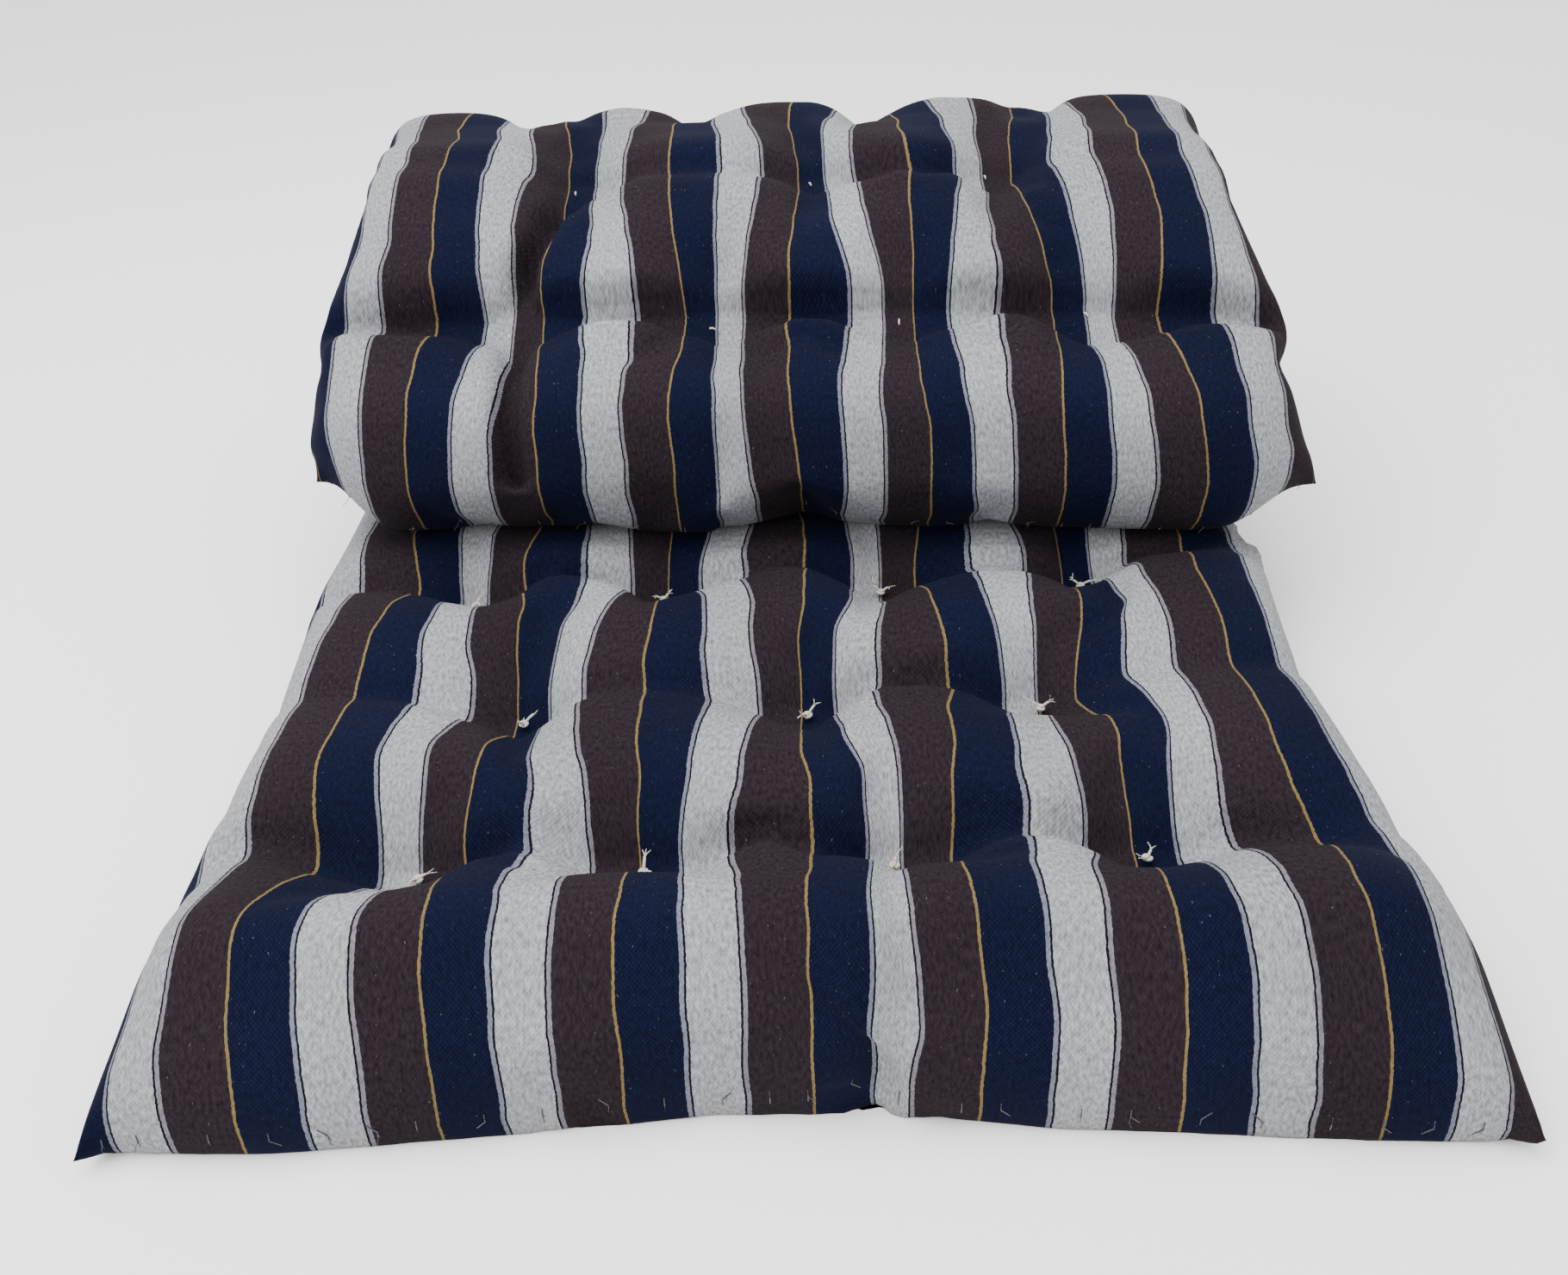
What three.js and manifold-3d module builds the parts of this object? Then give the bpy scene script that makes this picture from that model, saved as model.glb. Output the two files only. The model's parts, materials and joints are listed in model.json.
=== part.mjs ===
// A tufted cotton futon mattress, folded over on itself, in millimetres with +Z up.
//
// The mattress is a flat bag of striped ticking filled with cotton batting. Nine rows of twine ties pinch
// it into ten padded panels. The first five panels lie on the floor, and the other five turn up at the
// back and come forward over them. Each pinched row is a hinge line across the width.
//
// Seen from the front (looking along +Y), +X is to the right. The origin is under the middle of the
// folded mattress, on the floor.

import * as THREE from "three";
import { mergeVertices } from "three/addons/utils/BufferGeometryUtils.js";
import Module from "manifold-3d";

const wasm = await Module();
wasm.setup();

// Overall sizes
const LENGTH = 1829; // laid out flat, end seams included
const WIDTH = 914; // across the corner ears
const THICKNESS = 101.6; // of a padded panel
const BODY_WIDTH = 872; // of the padded panels, between the ears

// Panels and pinched rows
const PANELS = 10;
const FIRST_FIXED = 3; // panels 3 to 5 stay on the floor, and every other panel swings from them
const LAST_FIXED = 5;
const ROW_INSET = 22; // how far a pinched row stops short of the panels' sides
const WEB_THICKNESS = 16; // cloth and cotton between a panel and its pinched row
const FOLD_BENDS = [26, 68, 82, 28]; // degrees of fold at rows 5 to 8
const NOSE_CLEARANCE = 11; // between the folded-over end and the layer under it

// Cloth, cotton and twine
const CLOTH = 2; // ticking with the felted cotton that clings to it
const TIE_DIAMETER = 3;
const TUFT_DIAMETER = 10;
const TUFT_HEIGHT = 3;
const SEAM_DIAMETER = 6;
const EAR_LENGTH = 52;
const EAR_THICKNESS = 12;

// Ties across each row, as shares of the panel width from the left side, four and three by turns
const TIE_SHARES = [
  [0.18, 0.37, 0.58, 0.79],
  [0.24, 0.51, 0.73],
  [0.16, 0.36, 0.59, 0.8],
  [0.26, 0.49, 0.75],
  [0.18, 0.38, 0.6, 0.8],
  [0.25, 0.5, 0.74],
  [0.19, 0.39, 0.6, 0.81],
  [0.26, 0.53, 0.73],
  [0.2, 0.42, 0.62, 0.82],
];

// Clearances
const GAP = 0.3; // between pieces that touch
const HINGE_CLEARANCE = 1; // between the rounded ends of two panels folded as far as they go

// Faceting
const ARC_STEPS = 6; // of each half-round end
const BAR_SIDES = 12;
const TIE_SIDES = 8;
const SEAM_SIDES = 10;

// Derived sizes
const PITCH = LENGTH / PANELS;
const RADIUS = THICKNESS / 2;
const HALF_MAX_BEND = THREE.MathUtils.degToRad(Math.max(...FOLD_BENDS) / 2);
const ROW_GAP = 2 * ((RADIUS + HINGE_CLEARANCE / 2) / Math.cos(HALF_MAX_BEND) - RADIUS);
const BAR_RADIUS = (ROW_GAP - HINGE_CLEARANCE) / 2;
const ROW_WIDTH = BODY_WIDTH - 2 * ROW_INSET;
const FREE_END = PITCH - SEAM_DIAMETER - GAP; // where the cloth of an end panel stops, from its row
const SEAM_LENGTH = BODY_WIDTH - 2 * EAR_LENGTH;
const REACH = 2 * LENGTH; // larger than anything that is cut

const FACE_TICKING = new THREE.MeshStandardMaterial({ color: 0x3c4458, roughness: 0.9, metalness: 0 });
const BACK_TICKING = new THREE.MeshStandardMaterial({ color: 0x554a4c, roughness: 0.9, metalness: 0 });
const COTTON = new THREE.MeshStandardMaterial({ color: 0xe8e2d2, roughness: 1, metalness: 0 });
const TWINE = new THREE.MeshStandardMaterial({ color: 0xf1eee4, roughness: 0.8, metalness: 0 });

// Turns a profile drawn in (y, z) and extruded along its normal so that the extrusion runs along +X.
const PROFILE_ALONG_X = new THREE.Matrix4().makeBasis(
  new THREE.Vector3(0, 1, 0),
  new THREE.Vector3(0, 0, 1),
  new THREE.Vector3(1, 0, 0),
);

function toSolid(geometry) {
  const bare = geometry.clone();
  bare.deleteAttribute("normal");
  bare.deleteAttribute("uv");
  const merged = mergeVertices(bare);
  return new wasm.Manifold(
    new wasm.Mesh({
      numProp: 3,
      vertProperties: new Float32Array(merged.attributes.position.array),
      triVerts: new Uint32Array(merged.index.array),
    }),
  );
}

function toMesh(solid, name, material) {
  const mesh = solid.getMesh();
  const geometry = new THREE.BufferGeometry();
  geometry.setAttribute("position", new THREE.BufferAttribute(mesh.vertProperties, 3));
  geometry.setIndex(new THREE.BufferAttribute(mesh.triVerts, 1));
  return named(geometry, name, material);
}

function named(geometry, name, material) {
  const mesh = new THREE.Mesh(geometry, material);
  mesh.name = name;
  return mesh;
}

// A bar with half-round ends, from low to high along its first axis.
function roundedBar(low, high, radius) {
  const shape = new THREE.Shape();
  shape.absarc(high - radius, 0, radius, -Math.PI / 2, Math.PI / 2);
  shape.absarc(low + radius, 0, radius, Math.PI / 2, (3 * Math.PI) / 2);
  shape.closePath();
  return shape;
}

// One padded panel: round in front, behind and at both sides, with mitred corners.
function pillow(low, high, inset) {
  const radius = RADIUS - inset;
  const halfWidth = BODY_WIDTH / 2 - inset;
  const lengthwise = new THREE.ExtrudeGeometry(roundedBar(low + inset, high - inset, radius), {
    depth: BODY_WIDTH,
    bevelEnabled: false,
    curveSegments: ARC_STEPS,
  });
  lengthwise.translate(0, 0, -BODY_WIDTH / 2);
  lengthwise.applyMatrix4(PROFILE_ALONG_X);
  const crosswise = new THREE.ExtrudeGeometry(roundedBar(-halfWidth, halfWidth, radius), {
    depth: REACH,
    bevelEnabled: false,
    curveSegments: ARC_STEPS,
  });
  crosswise.translate(0, 0, -REACH / 2);
  crosswise.rotateX(Math.PI / 2);
  return toSolid(lengthwise).intersect(toSolid(crosswise));
}

// The pinched row at y, with the web that runs from it into a panel on each side given.
function pinchedRow(y, inset, webSides) {
  const width = ROW_WIDTH - 2 * inset;
  const bar = new THREE.CylinderGeometry(BAR_RADIUS - inset, BAR_RADIUS - inset, width, BAR_SIDES);
  bar.rotateZ(Math.PI / 2);
  bar.translate(0, y, 0);
  const webReach = ROW_GAP / 2 + RADIUS / 2;
  return webSides.reduce((row, side) => {
    const web = new THREE.BoxGeometry(width, webReach, WEB_THICKNESS - 2 * inset);
    web.translate(0, y + (side * webReach) / 2, 0);
    return row.add(toSolid(web));
  }, toSolid(bar));
}

// The outer form of one moving section of the mattress, drawn in by inset on every side.
// section.spans are its panels as [low, high], and section.rows are its pinched rows.
function stuffedForm(section, inset) {
  const panels = section.spans.map(([low, high]) => pillow(low, high, inset));
  const rows = section.rows.map((row) => pinchedRow(row.y, inset, row.webSides));
  return [...panels, ...rows].reduce((whole, piece) => whole.add(piece));
}

function halfSpace(side) {
  const box = new THREE.BoxGeometry(REACH, REACH, REACH);
  box.translate(0, 0, side * (REACH / 2 + GAP / 2));
  return toSolid(box);
}

// The two pointed corners of an end panel, in the cloth that lies under the middle plane.
function cornerEars() {
  const half = BODY_WIDTH / 2;
  const ears = [-1, 1].map((side) => {
    const outline = new THREE.Shape();
    outline.moveTo(side * half, FREE_END - EAR_LENGTH);
    outline.lineTo((side * WIDTH) / 2, PITCH);
    outline.lineTo(side * (half - EAR_LENGTH), FREE_END);
    outline.lineTo(side * (half - CLOTH), FREE_END - CLOTH);
    outline.closePath();
    const ear = new THREE.ExtrudeGeometry(outline, { depth: EAR_THICKNESS, bevelEnabled: false });
    ear.translate(0, 0, -EAR_THICKNESS);
    return toSolid(ear);
  });
  return ears[0].add(ears[1]);
}

// A twine tie: a shaft through the pinched row with a tuft on each face.
function tieGeometry() {
  const seat = BAR_RADIUS + GAP;
  const tip = seat + TUFT_HEIGHT;
  const points = [
    [0, -tip],
    [TUFT_DIAMETER / 2, -tip],
    [TUFT_DIAMETER / 2, -seat],
    [TIE_DIAMETER / 2, -seat],
    [TIE_DIAMETER / 2, seat],
    [TUFT_DIAMETER / 2, seat],
    [TUFT_DIAMETER / 2, tip],
    [0, tip],
  ].map(([r, h]) => new THREE.Vector2(r, h));
  const tie = new THREE.LatheGeometry(points, TIE_SIDES);
  tie.rotateX(Math.PI / 2);
  return tie;
}

function tieHole() {
  const radius = TIE_DIAMETER / 2 + GAP;
  const hole = new THREE.CylinderGeometry(radius, radius, 2 * (BAR_RADIUS + TUFT_HEIGHT), TIE_SIDES);
  hole.rotateX(Math.PI / 2);
  return hole;
}

// Where a section's ties stand, each turned to halve the bend of its row.
function tiePlaces(section) {
  return section.rows.flatMap((row) =>
    TIE_SHARES[row.number - 1].map((share, index) => ({
      name: `tie_row${row.number}_${index + 1}`,
      x: section.xSign * (share - 0.5) * BODY_WIDTH,
      y: row.y,
      tilt: THREE.MathUtils.degToRad(bendAtRow(row.number) / 2),
    })),
  );
}

function placed(geometry, place) {
  geometry.rotateX(place.tilt);
  geometry.translate(place.x, place.y, 0);
  return geometry;
}

// Cloth above and below, batting inside, and the ties through the pinched rows.
function buildSection(section) {
  const group = new THREE.Group();
  const places = tiePlaces(section);
  const holes = places.map((place) => toSolid(placed(tieHole(), place)));
  const bored = (solid) => holes.reduce((left, hole) => left.subtract(hole), solid);

  const outer = stuffedForm(section, 0);
  const cavity = stuffedForm(section, CLOTH);
  const under = section.hasFreeEnd ? outer.add(cornerEars()) : outer;
  const upperCloth = bored(outer.subtract(cavity).intersect(halfSpace(1)));
  const underCloth = bored(under.subtract(cavity).intersect(halfSpace(-1)));
  const batting = bored(stuffedForm(section, CLOTH + GAP));

  group.add(toMesh(upperCloth, `cover_face_${section.name}`, FACE_TICKING));
  group.add(toMesh(underCloth, `cover_back_${section.name}`, BACK_TICKING));
  group.add(toMesh(batting, `batting_${section.name}`, COTTON));
  for (const place of places) {
    group.add(named(placed(tieGeometry(), place), place.name, TWINE));
  }
  if (section.hasFreeEnd) {
    group.add(endSeam(`end_seam_${section.name}`));
  }
  return group;
}

// The hand-sewn seam that closes the bag at a free end.
function endSeam(name) {
  const radius = SEAM_DIAMETER / 2;
  const seam = new THREE.CylinderGeometry(radius, radius, SEAM_LENGTH, SEAM_SIDES);
  seam.rotateZ(Math.PI / 2);
  seam.translate(0, PITCH - radius, 0);
  return named(seam, name, TWINE);
}

// A section of one panel that hangs from the row at its y = 0 and carries the next row, if any.
function swingingSection(panel, nextRow, xSign) {
  const hasFreeEnd = nextRow === null;
  const high = hasFreeEnd ? FREE_END : PITCH - ROW_GAP / 2;
  return {
    name: `panel_${panel}`,
    spans: [[ROW_GAP / 2, high]],
    rows: hasFreeEnd ? [] : [{ number: nextRow, y: PITCH, webSides: [-1] }],
    hasFreeEnd,
    xSign,
  };
}

// Panels 3 to 5 with the rows before, between and after them.
function fixedSection() {
  const count = LAST_FIXED - FIRST_FIXED + 1;
  const spans = [];
  const rows = [];
  for (let index = 0; index < count; index += 1) {
    spans.push([index * PITCH + ROW_GAP / 2, (index + 1) * PITCH - ROW_GAP / 2]);
  }
  for (let index = 0; index <= count; index += 1) {
    const webSides = [-1, 1].filter((side) => index + side >= 0 && index + side <= count);
    rows.push({ number: FIRST_FIXED - 1 + index, y: index * PITCH, webSides });
  }
  return { name: "lower_layer", spans, rows, hasFreeEnd: false, xSign: 1 };
}

// The last bend brings the rounded end of the last panel down to the layer under it.
function lastBend() {
  let heading = 0;
  let height = 0;
  for (const bend of FOLD_BENDS) {
    heading += bend;
    height += PITCH * Math.sin(THREE.MathUtils.degToRad(heading));
  }
  const drop = height - THICKNESS - NOSE_CLEARANCE;
  const slope = THREE.MathUtils.radToDeg(Math.asin(drop / (FREE_END - RADIUS)));
  return 180 + slope - heading;
}

function bendAtRow(row) {
  if (row < LAST_FIXED) {
    return 0;
  }
  return [...FOLD_BENDS, lastBend()][row - LAST_FIXED];
}

// Panels 2 and 1, each hung on the one behind it.
function frontChain() {
  const chain = new THREE.Group();
  chain.rotation.z = Math.PI;
  let parent = chain;
  for (let panel = FIRST_FIXED - 1; panel >= 1; panel -= 1) {
    const nextRow = panel > 1 ? panel - 1 : null;
    const section = buildSection(swingingSection(panel, nextRow, -1));
    section.position.y = parent === chain ? 0 : PITCH;
    parent.add(section);
    parent = section;
  }
  return chain;
}

// Panels 6 to 10, each hung on the one before it and turned by the bend of its row.
function foldedChain() {
  const chain = new THREE.Group();
  chain.position.y = (LAST_FIXED - FIRST_FIXED + 1) * PITCH;
  let parent = chain;
  for (let row = LAST_FIXED; row < PANELS; row += 1) {
    const nextRow = row + 1 < PANELS ? row + 1 : null;
    const section = buildSection(swingingSection(row + 1, nextRow, 1));
    section.position.y = parent === chain ? 0 : PITCH;
    section.rotation.x = THREE.MathUtils.degToRad(bendAtRow(row));
    parent.add(section);
    parent = section;
  }
  return chain;
}

const mattress = new THREE.Group();
mattress.add(buildSection(fixedSection()), frontChain(), foldedChain());

// The origin goes under the middle of the folded mattress.
const box = new THREE.Box3().setFromObject(mattress, true);
mattress.position.set(-(box.min.x + box.max.x) / 2, -(box.min.y + box.max.y) / 2, -box.min.z);

const group = new THREE.Group();
group.add(mattress);
group.updateMatrixWorld(true);

export default group;
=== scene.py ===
"""Tufted cotton mattress in striped ticking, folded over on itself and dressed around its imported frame.

The cover is cut flat, filled and tied by a cloth simulation, folded at its tie rows as the frame's
hinges say, and then settled on the floor and on itself. The twine ties, the end seams and their
stray threads are laid on afterwards.
"""

import json
import logging
import math
import random
from dataclasses import dataclass
from enum import Enum
from typing import Any

import bmesh
import bpy
import numpy as np
from mathutils import Matrix, Vector

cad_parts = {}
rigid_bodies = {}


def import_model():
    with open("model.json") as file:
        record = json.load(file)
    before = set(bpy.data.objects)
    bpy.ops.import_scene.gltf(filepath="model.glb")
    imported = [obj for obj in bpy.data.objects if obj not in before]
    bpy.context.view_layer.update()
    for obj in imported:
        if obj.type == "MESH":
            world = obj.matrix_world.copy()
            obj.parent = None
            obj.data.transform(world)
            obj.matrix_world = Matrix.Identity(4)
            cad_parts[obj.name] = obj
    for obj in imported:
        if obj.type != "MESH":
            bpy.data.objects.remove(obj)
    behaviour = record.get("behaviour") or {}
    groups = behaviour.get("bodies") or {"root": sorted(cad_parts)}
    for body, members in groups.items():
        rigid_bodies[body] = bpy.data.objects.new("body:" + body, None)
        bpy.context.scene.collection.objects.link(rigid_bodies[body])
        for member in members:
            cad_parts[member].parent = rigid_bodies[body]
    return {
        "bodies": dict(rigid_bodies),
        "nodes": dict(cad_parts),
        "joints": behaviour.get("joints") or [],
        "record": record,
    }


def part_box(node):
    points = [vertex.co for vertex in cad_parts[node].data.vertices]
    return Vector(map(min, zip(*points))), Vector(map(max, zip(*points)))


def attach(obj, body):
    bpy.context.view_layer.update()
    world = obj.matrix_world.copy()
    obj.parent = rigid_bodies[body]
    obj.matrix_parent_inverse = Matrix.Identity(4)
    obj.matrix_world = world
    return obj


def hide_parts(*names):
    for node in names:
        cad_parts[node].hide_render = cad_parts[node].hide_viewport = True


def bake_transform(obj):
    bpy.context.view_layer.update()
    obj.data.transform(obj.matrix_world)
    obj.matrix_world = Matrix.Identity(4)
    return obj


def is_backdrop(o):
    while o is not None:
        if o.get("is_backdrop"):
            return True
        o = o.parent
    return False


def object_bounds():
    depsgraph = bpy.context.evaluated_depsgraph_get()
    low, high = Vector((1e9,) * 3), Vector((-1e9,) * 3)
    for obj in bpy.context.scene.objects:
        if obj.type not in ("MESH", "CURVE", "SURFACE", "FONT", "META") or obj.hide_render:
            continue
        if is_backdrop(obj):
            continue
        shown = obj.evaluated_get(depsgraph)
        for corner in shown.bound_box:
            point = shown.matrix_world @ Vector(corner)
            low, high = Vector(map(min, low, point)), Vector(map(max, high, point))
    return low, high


LOG = logging.getLogger("mattress")

MM = 0.001
CLOTH_MAP = "cloth"
SIDE_LAYER = "cloth_side"
# The body is cut this much narrower on each side than the frame, and fills out again.
BODY_EASE = -3 * MM
# Both ends of the folded mattress face the viewer.
OUTWARD = Vector((0.0, -1.0, 0.0))


class Side(Enum):
    """The two cloths of the bag: the face is up where the mattress lies flat."""

    FACE = 1.0
    BACK = -1.0


class Slot(Enum):
    """The record's material slot names; no piece made here takes them."""

    TICKING = "striped_ticking"
    TWINE = "cotton_twine"


def smoothstep(share: np.ndarray) -> np.ndarray:
    """A smooth rise from 0 to 1 as share goes from 0 to 1."""
    held = np.clip(share, 0.0, 1.0)
    return held * held * (3.0 - 2.0 * held)


def linear(red: int, green: int, blue: int, gain: float = 1.0) -> tuple[float, float, float, float]:
    """Turns a screen colour into the linear colour that a shader takes.

    Args:
        red: Red, from 0 to 255.
        green: Green, from 0 to 255.
        blue: Blue, from 0 to 255.
        gain: What the linear colour is multiplied by.

    Returns:
        The linear colour with an alpha of 1.
    """
    parts = [((part / 255.0 + 0.055) / 1.055) ** 2.4 for part in (red, green, blue)]
    return (parts[0] * gain, parts[1] * gain, parts[2] * gain, 1.0)


def put_in_scene(name: str, data: Any) -> bpy.types.Object:
    """Makes an object of some data and puts it in the scene.

    Args:
        name: The object's name.
        data: Its mesh, light or camera.

    Returns:
        The object.
    """
    made = bpy.data.objects.new(name, data)
    bpy.context.scene.collection.objects.link(made)
    return made


def mesh_of(name: str, net: bmesh.types.BMesh) -> bpy.types.Mesh:
    """Turns a bmesh into a mesh, and frees it.

    Args:
        name: The mesh's name.
        net: The bmesh.

    Returns:
        The mesh.
    """
    mesh = bpy.data.meshes.new(name)
    net.to_mesh(mesh)
    net.free()
    return mesh


def places_of(mesh: bpy.types.Mesh) -> np.ndarray:
    """Reads the vertices of a mesh.

    Args:
        mesh: The mesh.

    Returns:
        The vertices' places, one row for each.
    """
    flat = np.zeros(len(mesh.vertices) * 3, np.float32)
    mesh.vertices.foreach_get("co", flat)
    return flat.reshape(-1, 3).astype(float)


def put_places(mesh: bpy.types.Mesh, places: np.ndarray) -> None:
    """Moves the vertices of a mesh to the places given."""
    mesh.vertices.foreach_set("co", places.astype(np.float32).ravel())
    mesh.update()


def side_of(mesh: bpy.types.Mesh) -> np.ndarray:
    """Reads which cloth each vertex is on.

    Args:
        mesh: A mesh with the side layer.

    Returns:
        1 for the face, -1 for the back, and what lies between at the seam.
    """
    side = np.zeros(len(mesh.vertices), np.float32)
    mesh.attributes[SIDE_LAYER].data.foreach_get("value", side)
    return side.astype(float)


# ------------------------------------------------------------------------------------------------
# The fold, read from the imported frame
# ------------------------------------------------------------------------------------------------


@dataclass(frozen=True)
class Hinge:
    """One tie row that the mattress bends at."""

    row: int
    parent: str
    child: str
    bend: float
    lifts: bool


@dataclass(frozen=True)
class Fold:
    """Where the tie rows lie along the flat cloth, and how far each one is bent at rest.

    Lengths are in metres along the mattress from its front end, and bends in radians.
    """

    tip: float
    middle: float
    pitch: float
    panels: int
    hinges: dict[int, Hinge]
    band: float = 66 * MM

    @classmethod
    def from_frame(cls, frame: dict[str, Any]) -> "Fold":
        """Reads the fold from the frame's hinges.


        Returns:
            The fold.
        """
        hinges: dict[int, Hinge] = {}
        places: dict[int, list[float]] = {}
        for joint in frame["joints"]:
            kind, row_word = joint["name"].split("_row")
            row = int(row_word)
            bend = math.radians(max(joint["range_deg"]))
            hinges[row] = Hinge(row, joint["parent"], joint["child"], bend, kind == "lift")
            places[row] = joint["pos_m"]
        pitch = places[2][1] - places[1][1]
        return cls(places[1][1] - pitch, places[1][2], pitch, max(hinges) + 1, hinges)

    @property
    def length(self) -> float:
        """The flat length of the mattress."""
        return self.pitch * self.panels

    def beyond(self, row: int, along: np.ndarray) -> np.ndarray:
        """How far points have gone over to the part beyond a row: 0 before it, 1 after it."""
        return smoothstep((along - row * self.pitch + self.band) / (2.0 * self.band))

    def rest(self, points: np.ndarray) -> np.ndarray:
        """Folds points of the flat mattress into the rest position.

        Args:
            points: Points with x across, y along from the front end, and z up from the middle plane.

        Returns:
            The points in the row frame.
        """
        along = points[:, 1].copy()
        moved = points.copy()
        for row in sorted((r for r, hinge in self.hinges.items() if not hinge.lifts), reverse=True):
            angle = self.beyond(row, along) * self.hinges[row].bend
            start = row * self.pitch
            reach = moved[:, 1] - start
            height = moved[:, 2].copy()
            moved[:, 1] = start + reach * np.cos(angle) - height * np.sin(angle)
            moved[:, 2] = reach * np.sin(angle) + height * np.cos(angle)
        moved[:, 1] += self.tip
        moved[:, 2] += self.middle
        return moved

    def follow(self, piece: bpy.types.Object, row: int, along: np.ndarray) -> None:
        """Bakes a finished piece's transform into its mesh; the piece is not made to bend with a hinge.

        Args:
            piece: The piece, with its mesh final and at rest.
            row: The hinge's tie row. Not used.
            along: Each vertex's place along the flat cloth. Not used.
        """
        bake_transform(piece)


@dataclass(frozen=True)
class Tie:
    """One twine tie: its row, its number in the row, its place on the flat cloth and its CAD node."""

    row: int
    number: int
    across: float
    along: float
    node: str


def read_ties(frame: dict[str, Any], fold: Fold) -> list[Tie]:
    """Lists the ties that the frame holds.

    Args:
        fold: The fold, whose rows the ties lie on.

    Returns:
        The ties, by row and from left to right.
    """
    ties = []
    for node in sorted(name for name in frame["nodes"] if name.startswith("tie_row")):
        row, number = (int(word) for word in node.removeprefix("tie_row").split("_"))
        low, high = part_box(node)
        ties.append(Tie(row, number, (low[0] + high[0]) / 2.0, row * fold.pitch, node))
    return ties


# ------------------------------------------------------------------------------------------------
# The cover: cut flat, filled, tied, folded and settled
# ------------------------------------------------------------------------------------------------


@dataclass(frozen=True)
class Crease:
    """A crease that the filling has taken on, as a line on the flat cloth."""

    side: Side
    line: tuple[tuple[float, float], ...]
    depth: float
    width: float

    def depths(self, cloth: np.ndarray) -> np.ndarray:
        """How deep the crease is at each place of the cloth.

        Args:
            cloth: Places on the flat cloth, across and along, in metres.

        Returns:
            The depth at each place.
        """
        nearest = np.full(len(cloth), np.inf)
        corners = np.array(self.line)
        for start, end in zip(corners[:-1], corners[1:]):
            run = end - start
            share = np.clip(((cloth - start) @ run) / (run @ run), 0.0, 1.0)
            gap = np.linalg.norm(cloth - start - share[:, None] * run, axis=1)
            nearest = np.minimum(nearest, gap)
        return self.depth * np.exp(-((nearest / self.width) ** 2))


@dataclass(frozen=True)
class Puckers:
    """The creases from tie to tie along each row, and the long fold beside the first tie."""

    fold: Fold
    ties: list[Tie]
    half_width: float
    depth: float = 14 * MM
    width: float = 15 * MM
    bow: float = 9 * MM
    last_depth: float = 52 * MM
    last_width: float = 12 * MM
    last_bow: float = -17 * MM
    fade: float = 0.5
    edge_share: float = 0.85
    edge_bow: float = 0.4
    edge_width: float = 1.2
    bow_spread: tuple[float, float] = (0.6, 1.2)
    depth_spread: tuple[float, float] = (0.8, 1.15)
    arc_steps: int = 8
    fold_depth: float = 36 * MM
    fold_width: float = 11 * MM
    fold_aside: float = 12 * MM
    fold_bend: float = 70 * MM
    fold_end_aside: float = 10 * MM
    fold_end: float = 30 * MM
    seed: int = 5

    def creases(self) -> tuple[Crease, ...]:
        """Lists all the creases, on both cloths.

        Returns:
            The creases.
        """
        dice = random.Random(self.seed)
        found = []
        last = self.fold.panels - 1
        for row in range(1, self.fold.panels):
            places = [tie.across for tie in self.ties if tie.row == row]
            for side in Side:
                deep = row == last and side is Side.BACK
                bow = self.last_bow if deep else self.bow
                depth = self.last_depth if deep else self.depth
                for left, right in zip(places[:-1], places[1:]):
                    arc = self._arc(left, right, row, bow * dice.uniform(*self.bow_spread))
                    width = self.last_width if deep else self.width
                    pressed = depth * dice.uniform(*self.depth_spread)
                    found.append(Crease(side, arc, pressed, width))
                for inner, outer in ((places[0], -self.half_width), (places[-1], self.half_width)):
                    reach = inner + (outer - inner) * self.edge_share
                    arc = self._arc(inner, reach, row, self.edge_bow * bow)
                    width = self.width * self.edge_width
                    found.append(Crease(side, arc, depth * self.fade, width))
        found.append(self._long_fold())
        return tuple(found)

    def _arc(self, left: float, right: float, row: int, bow: float) -> tuple[tuple[float, float], ...]:
        """Draws a bowed line between two places of a row.

        Args:
            left: Where it starts, across.
            right: Where it ends, across.
            row: The tie row.
            bow: How far its middle stands off the row.

        Returns:
            The line's points on the flat cloth.
        """
        points = []
        for step in range(self.arc_steps + 1):
            share = step / self.arc_steps
            along = row * self.fold.pitch + bow * math.sin(math.pi * share)
            points.append((left + (right - left) * share, along))
        return tuple(points)

    def _long_fold(self) -> Crease:
        """Draws the fold that runs along the upper side from the last-but-one row to the far end.

        Returns:
            The fold, as a crease.
        """
        last = self.fold.panels - 1
        first_before = next(tie for tie in self.ties if tie.row == last - 1)
        first_last = next(tie for tie in self.ties if tie.row == last)
        line = (
            (first_before.across, first_before.along),
            (first_last.across + self.fold_aside, first_last.along - self.fold_bend),
            (first_last.across, first_last.along),
            (first_last.across + self.fold_end_aside, self.fold.length - self.fold_end),
        )
        return Crease(Side.BACK, line, self.fold_depth, self.fold_width)


@dataclass
class Bag:
    """The filled bag as arrays: places, flat cloth coordinates, and which cloth each vertex is on."""

    mesh: bpy.types.Mesh
    flat: np.ndarray
    cloth: np.ndarray
    side: np.ndarray
    places: np.ndarray


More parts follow.
